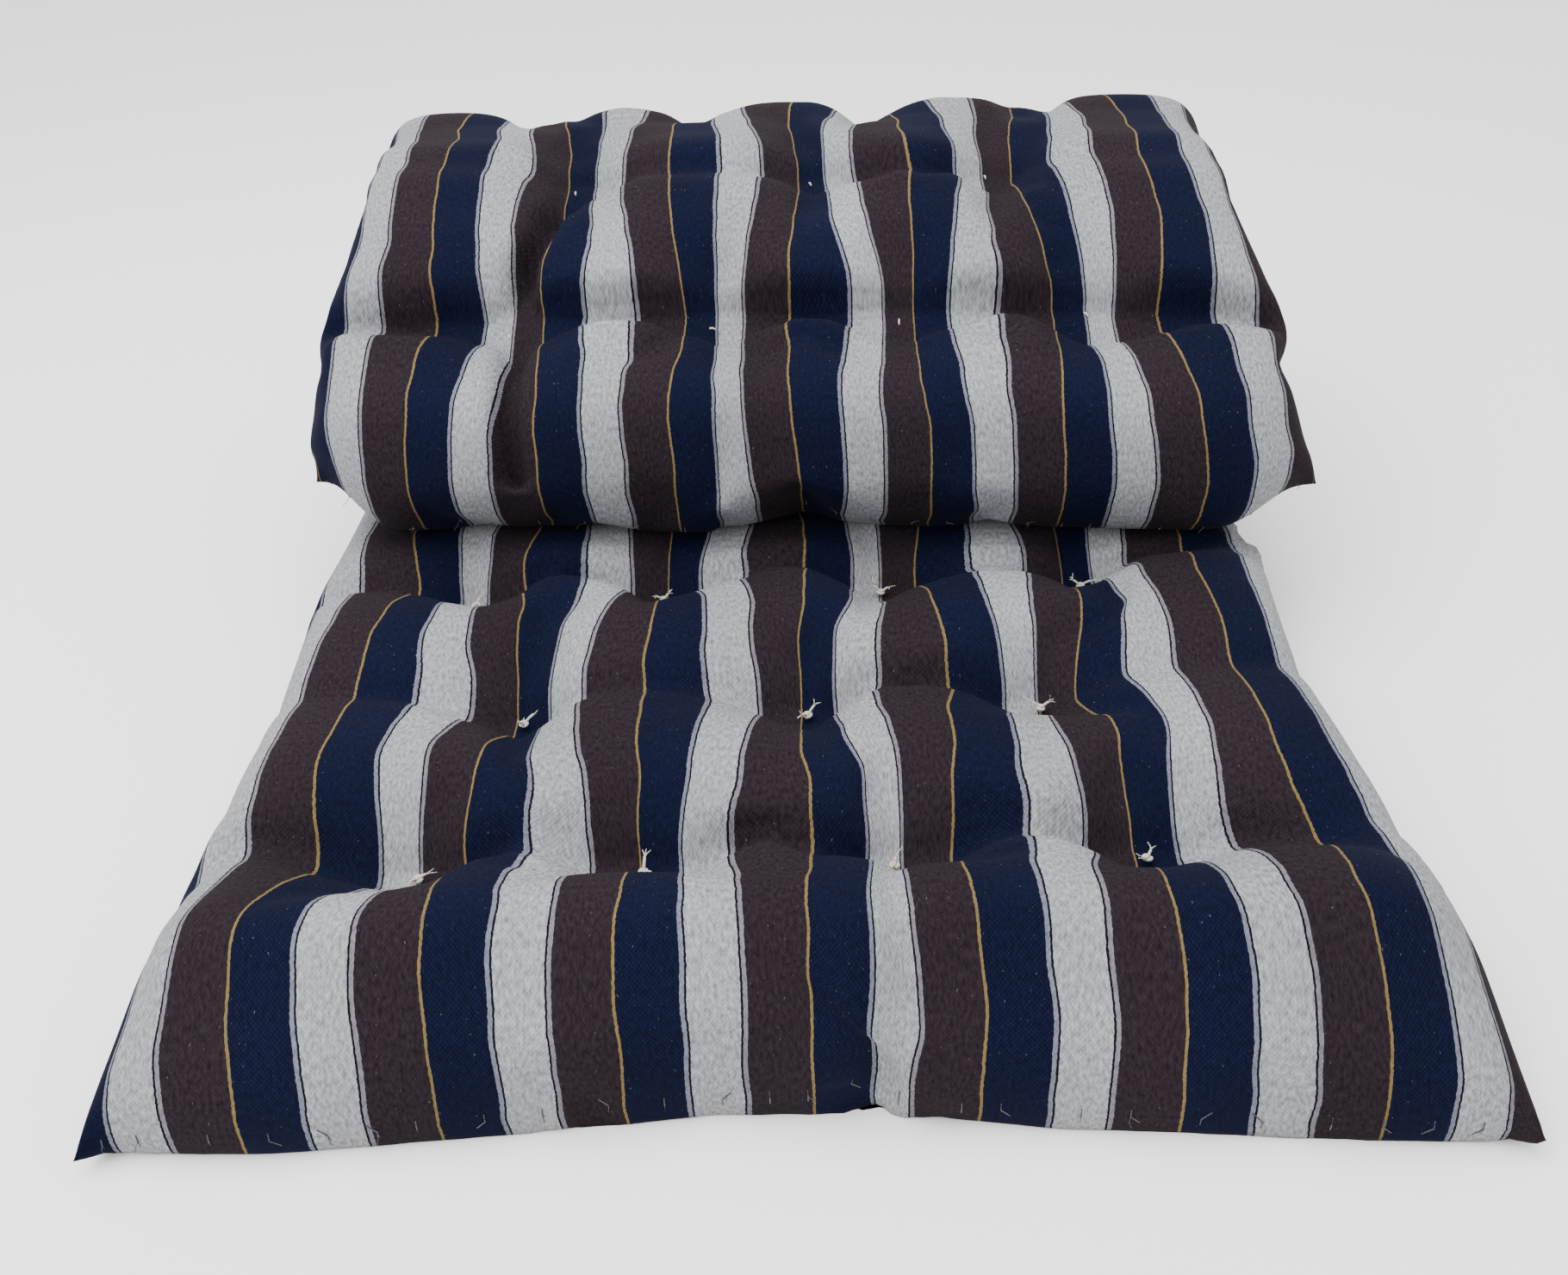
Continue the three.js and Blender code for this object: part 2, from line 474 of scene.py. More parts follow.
@dataclass
class Filling:
    """Cuts the flat bag and fills it with a pressure that the ties hold down."""

    fold: Fold
    ties: list[Tie]
    half_width: float
    columns: int = 80
    frames: int = 26
    pressure: float = 4.2
    slack: float = 0.062
    stiffness: float = 18.0
    bending: float = 1.5
    pinch: float = 14 * MM
    wall: float = 42 * MM
    front_room: float = 25 * MM
    far_room: float = 12 * MM
    dimple: float = 42 * MM
    tie_reach: float = 10 * MM
    seam_crease: float = 0.5
    gather: float = 0.045
    pull: float = 0.5
    pull_reach: float = 62 * MM
    firm_from: float = 40 * MM
    firm_to: float = 130 * MM
    gather_from: float = 0.6
    gather_over: float = 0.2

    @property
    def turn(self) -> float:
        """How much longer the cut is than the filled bag at each edge, where the cloth goes round it."""
        return self.wall * (math.pi / 2.0 - 1.0)

    def _round(self, cut: float, low: float, high: float) -> tuple[float, float]:
        """Bends the cut cloth round the edges of the filled bag, along one direction.

        Args:
            cut: A place on the flat cloth.
            low: The filled bag's lower edge.
            high: The filled bag's upper edge.

        Returns:
            The place on the filled bag, and the cloth's share of the full wall height there.
        """
        middle = (low + high) / 2.0
        half = (high - low) / 2.0
        inside = half + self.turn - abs(cut - middle)
        if inside >= self.wall * math.pi / 2.0:
            return cut, 1.0
        angle = inside / self.wall
        place = half - self.wall + self.wall * math.cos(angle)
        return middle + math.copysign(place, cut - middle), math.sin(angle)

    def cut(self) -> bpy.types.Object:
        """Cuts the two cloths, joins them round the edge and opens the bag a little.

        Returns:
            The bag, with its cloth map, its side layer, its ties and the flat cut as a shape key.
        """
        length = self.fold.length
        wide = 2.0 * (self.half_width + self.turn)
        long = length + self.front_room + self.far_room + 2.0 * self.turn
        centre = (length + self.far_room - self.front_room) / 2.0
        net = bmesh.new()
        bmesh.ops.create_grid(net, x_segments=self.columns, y_segments=2 * self.columns, size=0.5)
        cloth_map = net.loops.layers.uv.new(CLOTH_MAP)
        side_layer = net.verts.layers.float.new(SIDE_LAYER)
        for vertex in net.verts:
            vertex.co.x *= wide
            vertex.co.y = centre + vertex.co.y * long
            vertex[side_layer] = Side.FACE.value
        for face in net.faces:
            for loop in face.loops:
                loop[cloth_map].uv = (loop.vert.co.x, loop.vert.co.y)
        rim = {vertex for edge in net.edges if edge.is_boundary for vertex in edge.verts}
        for vertex in rim:
            vertex[side_layer] = 0.0
        twin = bmesh.ops.duplicate(net, geom=net.faces[:])["geom"]
        back = [item for item in twin if isinstance(item, bmesh.types.BMFace)]
        bmesh.ops.reverse_faces(net, faces=back)
        for vertex in {vertex for face in back for vertex in face.verts}:
            vertex[side_layer] = -vertex[side_layer]
        seam = [vertex for vertex in net.verts if vertex[side_layer] == 0.0]
        bmesh.ops.remove_doubles(net, verts=seam, dist=0.01 * MM)
        crease = net.edges.layers.float.new("crease_edge")
        for edge in net.edges:
            if all(vertex[side_layer] == 0.0 for vertex in edge.verts):
                edge[crease] = self.seam_crease
        bag = put_in_scene("bag", mesh_of("bag", net))
        self._open(bag)
        return bag

    def _open(self, bag: bpy.types.Object) -> None:
        """Keeps the flat cut as a shape key, opens the bag to its rough filled shape, and ties it down.

        Args:
            bag: The bag, flat. Its vertices are moved, and its groups and keys are made.
        """
        mesh = bag.data
        cut = places_of(mesh)
        side = side_of(mesh)
        ends = (-self.front_room, self.fold.length + self.far_room)
        opened = np.zeros((len(cut), 3))
        for index, place in enumerate(cut):
            across, wall_x = self._round(place[0], -self.half_width, self.half_width)
            along, wall_y = self._round(place[1], *ends)
            opened[index] = (across, along, side[index] * self.wall * wall_x * wall_y)
        held: list[int] = []
        for tie in self.ties:
            gap = np.hypot(opened[:, 0] - tie.across, opened[:, 1] - tie.along)
            opened[:, 2] *= 1.0 - (1.0 - self.pinch / self.wall) * np.exp(-((gap / self.dimple) ** 2))
            for cloth_side in Side:
                cloth = np.where(side == cloth_side.value)[0]
                near = cloth[gap[cloth] < self.tie_reach]
                if len(near) == 0:
                    near = cloth[[gap[cloth].argmin()]]
                opened[near, 2] = cloth_side.value * self.pinch
                held.extend(int(index) for index in near)
        put_places(mesh, opened)
        bag.vertex_groups.new(name="ties").add(held, 1.0, "REPLACE")
        firm = bag.vertex_groups.new(name="firm")
        inside = self.half_width + self.turn - np.abs(cut[:, 0])
        firmness = smoothstep((self.firm_to - inside) / (self.firm_to - self.firm_from))
        for index, share in enumerate(firmness):
            if share > 0.0:
                firm.add([index], float(share), "REPLACE")
        bag.shape_key_add(name="filled")
        flat_key = bag.shape_key_add(name="cut")
        flat_key.data.foreach_set("co", cut.astype(np.float32).ravel())
        flat_key.value = 0.0

    def fill(self) -> Bag:
        """Runs the simulation and gives the filled bag, one subdivision finer.

        Returns:
            The filled bag, still flat.
        """
        bag = self.cut()
        modifier = bag.modifiers.new("Cloth", "CLOTH")
        cloth = modifier.settings
        cloth.quality = 5
        cloth.mass = 0.3
        cloth.air_damping = 1.0
        cloth.tension_stiffness = self.stiffness
        cloth.compression_stiffness = self.stiffness
        cloth.shear_stiffness = 5.0
        cloth.bending_stiffness = self.bending
        cloth.use_pressure = True
        cloth.uniform_pressure_force = self.pressure
        cloth.effector_weights.gravity = 0.0
        cloth.vertex_group_mass = "ties"
        cloth.vertex_group_shrink = "firm"
        cloth.shrink_min = -self.slack
        cloth.shrink_max = 0.0
        cloth.rest_shape_key = bag.data.shape_keys.key_blocks["cut"]
        modifier.point_cache.frame_start = 1
        modifier.point_cache.frame_end = self.frames
        finer = bag.modifiers.new("Finer", "SUBSURF")
        finer.levels = 1
        finer.render_levels = 1
        for step in range(1, self.frames + 1):
            bpy.context.scene.frame_set(step)
        shown = bag.evaluated_get(bpy.context.evaluated_depsgraph_get())
        mesh = bpy.data.meshes.new_from_object(shown)
        bpy.data.objects.remove(bag)
        bpy.context.scene.frame_set(1)
        return self._read(mesh)

    def _drawn_in(self, cloth: np.ndarray) -> np.ndarray:
        """Draws the cloth in towards the ties, and gathers it on the folded-over part.

        Args:
            cloth: Places on the flat cloth.

        Returns:
            The places that the stripes are drawn by.
        """
        drawn = cloth.copy()
        for tie in self.ties:
            across = cloth[:, 0] - tie.across
            gap = np.hypot(across, cloth[:, 1] - tie.along)
            drawn[:, 0] += across * self.pull * np.exp(-((gap / self.pull_reach) ** 2))
        share = smoothstep((cloth[:, 1] / self.fold.length - self.gather_from) / self.gather_over)
        drawn[:, 0] *= 1.0 + self.gather * share
        return drawn

    def _read(self, mesh: bpy.types.Mesh) -> Bag:
        """Reads the filled mesh into arrays, and draws its cloth map in.

        Args:
            mesh: The filled mesh.

        Returns:
            The filled bag.
        """
        corner_vertex = np.zeros(len(mesh.loops), np.int32)
        mesh.loops.foreach_get("vertex_index", corner_vertex)
        corner_cloth = np.zeros(len(mesh.loops) * 2, np.float32)
        mesh.uv_layers[CLOTH_MAP].uv.foreach_get("vector", corner_cloth)
        cloth = np.zeros((len(mesh.vertices), 2))
        cloth[corner_vertex] = corner_cloth.reshape(-1, 2)
        drawn = self._drawn_in(cloth)[corner_vertex]
        mesh.uv_layers[CLOTH_MAP].uv.foreach_set("vector", drawn.astype(np.float32).ravel())
        places = places_of(mesh)
        return Bag(mesh, places, cloth, side_of(mesh), places.copy())


@dataclass
class Settling:
    """Presses creases into the filled bag, folds it, and lets it sag on the floor and on itself."""

    fold: Fold
    creases: tuple[Crease, ...]
    front_drop: float = 31 * MM
    front_reach: float = 80 * MM
    far_drop: float = 3 * MM
    far_reach: float = 90 * MM
    corner_from: float = 350 * MM
    corner_reach: float = 110 * MM
    front_left: float = 4 * MM
    front_right: float = 8 * MM
    front_out: float = 8 * MM
    far_left: tuple[float, float, float] = (-14 * MM, -44 * MM, -18 * MM)
    far_right: tuple[float, float, float] = (-4 * MM, -34 * MM, -22 * MM)
    right_drop: float = 15 * MM
    left_drop: float = 5 * MM
    edge_drop: float = 10 * MM
    edge_reach: float = 70 * MM
    floor_softness: float = 2 * MM
    cell: float = 12 * MM
    layer_gap: float = 2 * MM
    give_way: float = 0.5
    crown: float = 58 * MM
    crown_from: float = 40 * MM
    front_parts: int = 90
    rest_reach: float = 150 * MM
    lean: float = 1.45
    held_back: float = 5 * MM
    even_over: int = 21
    lower_over: int = 5
    bulge: float = 16 * MM
    bulge_at: float = 392 * MM
    bulge_width: float = 95 * MM
    aside: float = 6 * MM
    turned: float = -0.05
    askew_from: float = 6.0
    askew_over: float = 2.5
    droop_from: float = 0.12
    droop_over: float = 0.34
    least_fill: float = 12 * MM
    contact_softness: float = 3 * MM
    contact_fade: float = 2 * MM
    contact_reach: float = 60 * MM
    contact_blurs: int = 4
    lower_panels: float = 5.0
    upper_panels: float = 8.5
    origin: tuple[float, float] = (-0.6, -0.7)
    extent: tuple[float, float] = (1.2, 1.4)
    fills: tuple[tuple[int, Side, float], ...] = (
        (0, Side.FACE, 0.34),
        (1, Side.FACE, 0.16),
        (2, Side.FACE, 0.14),
        (3, Side.FACE, 0.08),
        (6, Side.BACK, -0.36),
        (5, Side.BACK, -0.12),
        (8, Side.BACK, 0.1),
        (9, Side.BACK, 0.45),
    )

    def settle(self, bag: Bag, width: float) -> None:
        """Brings the bag to its rest position.

        Args:
            bag: The filled bag. Its flat places and its places are rewritten.
            width: The width of the flat cloth.
        """
        self._limit(bag)
        self._plump(bag)
        self._press(bag)
        self._sag(bag, width)
        bag.places = self.fold.rest(bag.flat)
        self._skew(bag)
        self._part_layers(bag)
        self._rest_front(bag)
        height = bag.places[:, 2]
        softened = 0.5 * (height + np.sqrt(height**2 + 4.0 * self.floor_softness**2))
        bag.places[:, 2] = softened - self.floor_softness
        bag.places[:, 2] = np.maximum(bag.places[:, 2], 0.0)

    def _press(self, bag: Bag) -> None:
        """Presses the creases into the flat bag.

        Args:
            bag: The bag.
        """
        for crease in self.creases:
            depth = crease.depths(bag.cloth)
            on_side = np.clip(bag.side * crease.side.value, 0.0, 1.0)
            room = np.maximum(bag.flat[:, 2] * crease.side.value - self.least_fill, 0.0)
            bag.flat[:, 2] -= crease.side.value * on_side * np.minimum(depth, room)

    def _plump(self, bag: Bag) -> None:
        """Fills single panels more or less than the rest, on one side.

        Args:
            bag: The bag.
        """
        share = bag.flat[:, 1] / self.fold.pitch
        for panel, side, amount in self.fills:
            bump = np.sin(np.pi * np.clip(share - panel, 0.0, 1.0)) ** 2
            on_side = np.clip(bag.side * side.value, 0.0, 1.0)
            bag.flat[:, 2] *= 1.0 + amount * bump * on_side

    def _limit(self, bag: Bag) -> None:
        """Rounds off whatever stands higher than a crown may.

        Args:
            bag: The bag.
        """
        height = np.abs(bag.flat[:, 2])
        room = self.crown - self.crown_from
        over = np.maximum(height - self.crown_from, 0.0)
        held = np.minimum(height, self.crown_from) + room * np.tanh(over / room)
        bag.flat[:, 2] = np.sign(bag.flat[:, 2]) * held

    def _rest_front(self, bag: Bag) -> None:
        """Lets the front edge down onto the floor, and evens it as seen from in front and above.

        Args:
            bag: The bag, folded.
        """
        along = bag.flat[:, 1]
        end = along < self.front_reach
        edges = np.linspace(-0.5, 0.5, self.front_parts + 1)
        centres = (edges[:-1] + edges[1:]) / 2.0
        part = np.clip(np.digitize(bag.places[:, 0], edges) - 1, 0, self.front_parts - 1)
        share = 1.0 - smoothstep(along / self.rest_reach)
        for axis, window in ((2, self.lower_over), (1, self.even_over)):
            measure = bag.places[:, 2].copy()
            if axis == 1:
                measure = bag.places[:, 1] + self.lean * np.maximum(measure, 0.0)
            low = np.full(self.front_parts, np.inf)
            np.minimum.at(low, part[end], measure[end])
            known = np.isfinite(low)
            low = np.interp(centres, centres[known], low[known])
            kernel = np.full(window, 1.0 / window)
            level = np.convolve(np.pad(low, window // 2, mode="edge"), kernel, mode="valid")
            shift = np.maximum(level, 0.0) if axis == 2 else low - level - self.held_back
            bag.places[:, axis] -= np.interp(bag.places[:, 0], centres, shift) * share

    def _skew(self, bag: Bag) -> None:
        """Lays the folded-over part a little aside and askew, as hands leave it.

        Args:
            bag: The bag, folded.
        """
        share = smoothstep((bag.flat[:, 1] / self.fold.pitch - self.askew_from) / self.askew_over)
        bag.places[:, 1] += share * self.turned * bag.places[:, 0]
        bag.places[:, 0] += share * self.aside
        right = smoothstep((bag.places[:, 0] - self.droop_from) / self.droop_over)
        left = smoothstep((-bag.places[:, 0] - self.droop_from) / self.droop_over)
        bag.places[:, 2] -= share * (self.right_drop * right + self.left_drop * left)

    def _sag(self, bag: Bag, width: float) -> None:
        """Lets the two ends and the long edges hang down, and draws the corners out.

        Args:
            bag: The bag, flat.
            width: The width of the flat cloth.
        """
        along = bag.flat[:, 1]
        front = 1.0 - smoothstep(along / self.front_reach)
        bag.flat[:, 2] -= self.front_drop * front
        far = 1.0 - smoothstep((self.fold.length - along) / self.far_reach)
        bag.flat[:, 2] += self.far_drop * far
        corner = smoothstep((np.abs(bag.flat[:, 0]) - self.corner_from) / self.corner_reach)
        left = bag.flat[:, 0] < 0.0
        bag.flat[:, 1] -= np.where(left, self.front_left, self.front_right) * front * corner**2
        bag.flat[:, 0] -= np.where(left, self.front_out, 0.0) * front * corner
        bulge = np.exp(-(((bag.flat[:, 0] - self.bulge_at) / self.bulge_width) ** 2))
        bag.flat[:, 1] -= self.bulge * bulge * front
        outward, onward, upward = np.where(left[:, None], self.far_left, self.far_right).T
        bag.flat[:, 0] += np.where(left, -outward, outward) * far * corner**2
        bag.flat[:, 1] += onward * far * corner**2
        bag.flat[:, 2] += upward * far * corner
        lower = 1.0 - self.fold.beyond(5, along)
        edge = 1.0 - smoothstep((width / 2.0 - np.abs(bag.flat[:, 0])) / self.edge_reach)
        bag.flat[:, 2] -= self.edge_drop * edge * lower * (1.0 - front)

    @property
    def _shape(self) -> tuple[int, int]:
        """The size of the level grid, in cells."""
        return int(self.extent[0] / self.cell), int(self.extent[1] / self.cell)

    def _heights(self, places: np.ndarray, chosen: np.ndarray, top: bool) -> np.ndarray:
        """Finds the highest or lowest point of some vertices in each cell of a level grid.

        Args:
            places: All places.
            chosen: Which vertices count.
            top: Whether the highest is wanted.

        Returns:
            The heights, with nan where a cell is empty.
        """
        grid = np.full(self._shape, -np.inf if top else np.inf)
        cells = self._cells(places[chosen])
        put = np.maximum if top else np.minimum
        put.at(grid, cells, places[chosen, 2])
        grid[~np.isfinite(grid)] = np.nan
        return grid

    def _cells(self, places: np.ndarray) -> tuple[np.ndarray, np.ndarray]:
        """Finds the grid cells that places fall in.

        Args:
            places: The places.

        Returns:
            The column and the row of each.
        """
        columns = ((places[:, 0] - self.origin[0]) / self.cell).astype(int)
        rows = ((places[:, 1] - self.origin[1]) / self.cell).astype(int)
        return np.clip(columns, 0, self._shape[0] - 1), np.clip(rows, 0, self._shape[1] - 1)

    def _part_layers(self, bag: Bag) -> None:
        """Presses the folded-over part and the lower part off each other where they meet.

        Args:
            bag: The bag, folded.
        """
        along = bag.flat[:, 1]
        lower = along < self.lower_panels * self.fold.pitch
        upper = along > self.upper_panels * self.fold.pitch
        top = self._heights(bag.places, lower, True)
        bottom = self._heights(bag.places, upper, False)
        apart = np.isnan(top) | np.isnan(bottom)
        meet = np.where(apart, 0.0, top - bottom + self.layer_gap)
        overlap = np.maximum(meet, 0.0)
        ground = np.where(np.isnan(top), 0.0, top) - self.give_way * overlap
        for _ in range(self.contact_blurs):
            overlap = self._blur(overlap)
            ground = self._blur(ground)
        columns, rows = self._cells(bag.places)
        level = ground[columns, rows]
        height = bag.places[:, 2]
        softness = 4.0 * self.contact_softness**2
        up = 0.5 * ((height - level) + np.sqrt((height - level) ** 2 + softness)) + level
        down = level - 0.5 * ((level - height) + np.sqrt((level - height) ** 2 + softness))
        touching = np.clip(overlap[columns, rows] / self.contact_fade, 0.0, 1.0)
        near = np.abs(height - level) < self.contact_reach
        above = height > self.fold.middle
        height = np.where(upper & near, height + touching * (up - height), height)
        height = np.where(lower & near & above, height + touching * (down - height), height)
        LOG.info("layers overlapped by at most %.1f mm", 1000.0 * float(np.nanmax(meet)))
        bag.places[:, 2] = height

    @staticmethod
    def _blur(grid: np.ndarray) -> np.ndarray:
        """Averages each cell of a grid with its neighbours.

        Args:
            grid: The grid.

        Returns:
            The smoother grid.
        """
        padded = np.pad(grid, 1, mode="edge")
        total = sum(
            padded[1 + dx : padded.shape[0] - 1 + dx, 1 + dy : padded.shape[1] - 1 + dy]
            for dx in (-1, 0, 1)
            for dy in (-1, 0, 1)
        )
        return total / 9.0


@dataclass(frozen=True)
class Stretch:
    """A length of the cover between two lines across panels, with the row that bends it."""

    name: str
    first: float
    last: float
    row: int | None
    body: str


@dataclass
class Cover:
    """The striped cover, as one piece for each tie row that bends, and one for the still middle."""

    fold: Fold
    bag: Bag
    still_body: str = "lower_layer"
    fill: float = 0.8

    def stretches(self) -> list[Stretch]:
        """Lists the lengths that the cover is cut into, from the front end on.

        Returns:
            The lengths, one for each tie row that bends and one for the still middle.
        """
        rows = sorted(self.fold.hinges)
        lifting = [row for row in rows if self.fold.hinges[row].lifts]
        folding = [row for row in rows if not self.fold.hinges[row].lifts]
        found = []
        for row in lifting:
            first = -1.0 if row == lifting[0] else row - 0.5
            found.append(Stretch(f"cover_row{row}", first, row + 0.5, row, self.fold.hinges[row].child))
        found.append(Stretch("cover_middle", lifting[-1] + 0.5, folding[0] - 0.5, None, self.still_body))
        for row in folding:
            last = self.fold.panels + 1.0 if row == folding[-1] else row + 0.5
            found.append(Stretch(f"cover_row{row}", row - 0.5, last, row, self.fold.hinges[row].child))
        return found

    def build(self, ticking: bpy.types.Material) -> list[bpy.types.Object]:
        """Cuts the settled bag into its pieces, and parents the still middle piece to its body.

        Args:
            ticking: The cloth's material.

        Returns:
            The pieces.
        """
        whole = self.bag.mesh
        put_places(whole, self.bag.places)
        normals = np.zeros(len(whole.vertices) * 3, np.float32)
        whole.vertex_normals.foreach_get("vector", normals)
        normals = normals.reshape(-1, 3)
        number = whole.attributes.new("bag_vertex", "INT", "POINT")
        number.data.foreach_set("value", np.arange(len(whole.vertices), dtype=np.int32))
        pieces = []
        for stretch in self.stretches():
            piece, kept = self._cut_out(whole, stretch)
            piece.data.normals_split_custom_set_from_vertices(normals[kept].tolist())
            piece.data.materials.append(ticking)
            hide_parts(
                f"cover_face_{stretch.body}",
                f"cover_back_{stretch.body}",
                f"batting_{stretch.body}",
            )
            if stretch.row is None:
                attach(piece, stretch.body)
            else:
                self.fold.follow(piece, stretch.row, self.bag.flat[kept, 1])
            LOG.info("%s: %d vertices", piece.name, len(kept))
            pieces.append(piece)
        bpy.data.meshes.remove(whole)
        return pieces

    def _cut_out(self, whole: bpy.types.Mesh, stretch: Stretch) -> tuple[bpy.types.Object, np.ndarray]:
        """Keeps the faces of one stretch.

        Args:
            whole: The mesh of the whole cover.
            stretch: The stretch to keep.

        Returns:
            The new piece, and the number in the whole of each of its vertices.
        """
        net = bmesh.new()
        net.from_mesh(whole)
        cloth_map = net.loops.layers.uv[CLOTH_MAP]
        low = stretch.first * self.fold.pitch
        high = stretch.last * self.fold.pitch
        outside = []
        for face in net.faces:
            along = sum(loop[cloth_map].uv.y for loop in face.loops) / len(face.loops)
            if not low < along < high:
                outside.append(face)
        bmesh.ops.delete(net, geom=outside, context="FACES")
        for face in net.faces:
            face.smooth = True
        mesh = mesh_of(stretch.name, net)
        kept = np.zeros(len(mesh.vertices), np.int32)
        mesh.attributes["bag_vertex"].data.foreach_get("value", kept)
        mesh.attributes.remove(mesh.attributes["bag_vertex"])
        mesh.attributes.remove(mesh.attributes[SIDE_LAYER])
        return put_in_scene(stretch.name, mesh), kept


# ------------------------------------------------------------------------------------------------
# Twine: the ties and the end seams
# ------------------------------------------------------------------------------------------------


@dataclass(frozen=True)
class Strand:
    """A length of thread or twine, swept along a path."""

    path: tuple[Vector, ...]
    radius: float
    sides: int = 8
    tip_share: float = 0.7

    def sweep(self, net: bmesh.types.BMesh) -> None:
        """Adds the strand to a bmesh as a closed tube.

        Args:
            net: The bmesh that the strand goes into.
        """
        circle = bmesh.ops.create_circle(net, cap_ends=True, segments=self.sides, radius=self.radius)
        ring = circle["verts"]
        here = self._frame(0)
        bmesh.ops.transform(net, matrix=here, verts=ring)
        cap = [face for face in ring[0].link_faces]
        bmesh.ops.reverse_faces(net, faces=cap)
        edges = list(dict.fromkeys(edge for vertex in ring for edge in vertex.link_edges))
        for step in range(1, len(self.path)):
            there = self._frame(step)
            made = bmesh.ops.extrude_edge_only(net, edges=edges)["geom"]
            ring = [item for item in made if isinstance(item, bmesh.types.BMVert)]
            edges = [item for item in made if isinstance(item, bmesh.types.BMEdge)]
            narrowing = Matrix.Scale(self.tip_share if step == len(self.path) - 1 else 1.0, 4)
            bmesh.ops.transform(net, matrix=there @ narrowing @ here.inverted(), verts=ring)
            here = there @ narrowing
        loop = [edge for edge in edges if all(vertex in ring for vertex in edge.verts)]
        bmesh.ops.contextual_create(net, geom=loop)

    def _frame(self, step: int) -> Matrix:
        """Finds the place and direction of the strand at a point of its path.

        Args:
            step: The point's number.

        Returns:
            The matrix that puts a ring there.
        """
        before = self.path[max(step - 1, 0)]
        after = self.path[min(step + 1, len(self.path) - 1)]
        turn = (after - before).to_track_quat("Z", "Y").to_matrix().to_4x4()
        return Matrix.Translation(self.path[step]) @ turn


def smooth_piece(name: str, net: bmesh.types.BMesh, material: bpy.types.Material) -> bpy.types.Object:
    """Makes a smooth-shaded piece of a bmesh, which is freed.

    Args:
        name: The piece's name.
        net: The bmesh.
        material: The piece's material.

    Returns:
        The piece.
    """
    bmesh.ops.recalc_face_normals(net, faces=net.faces[:])
    for face in net.faces:
        face.smooth = True
    mesh = mesh_of(name, net)
    mesh.materials.append(material)
    return put_in_scene(name, mesh)


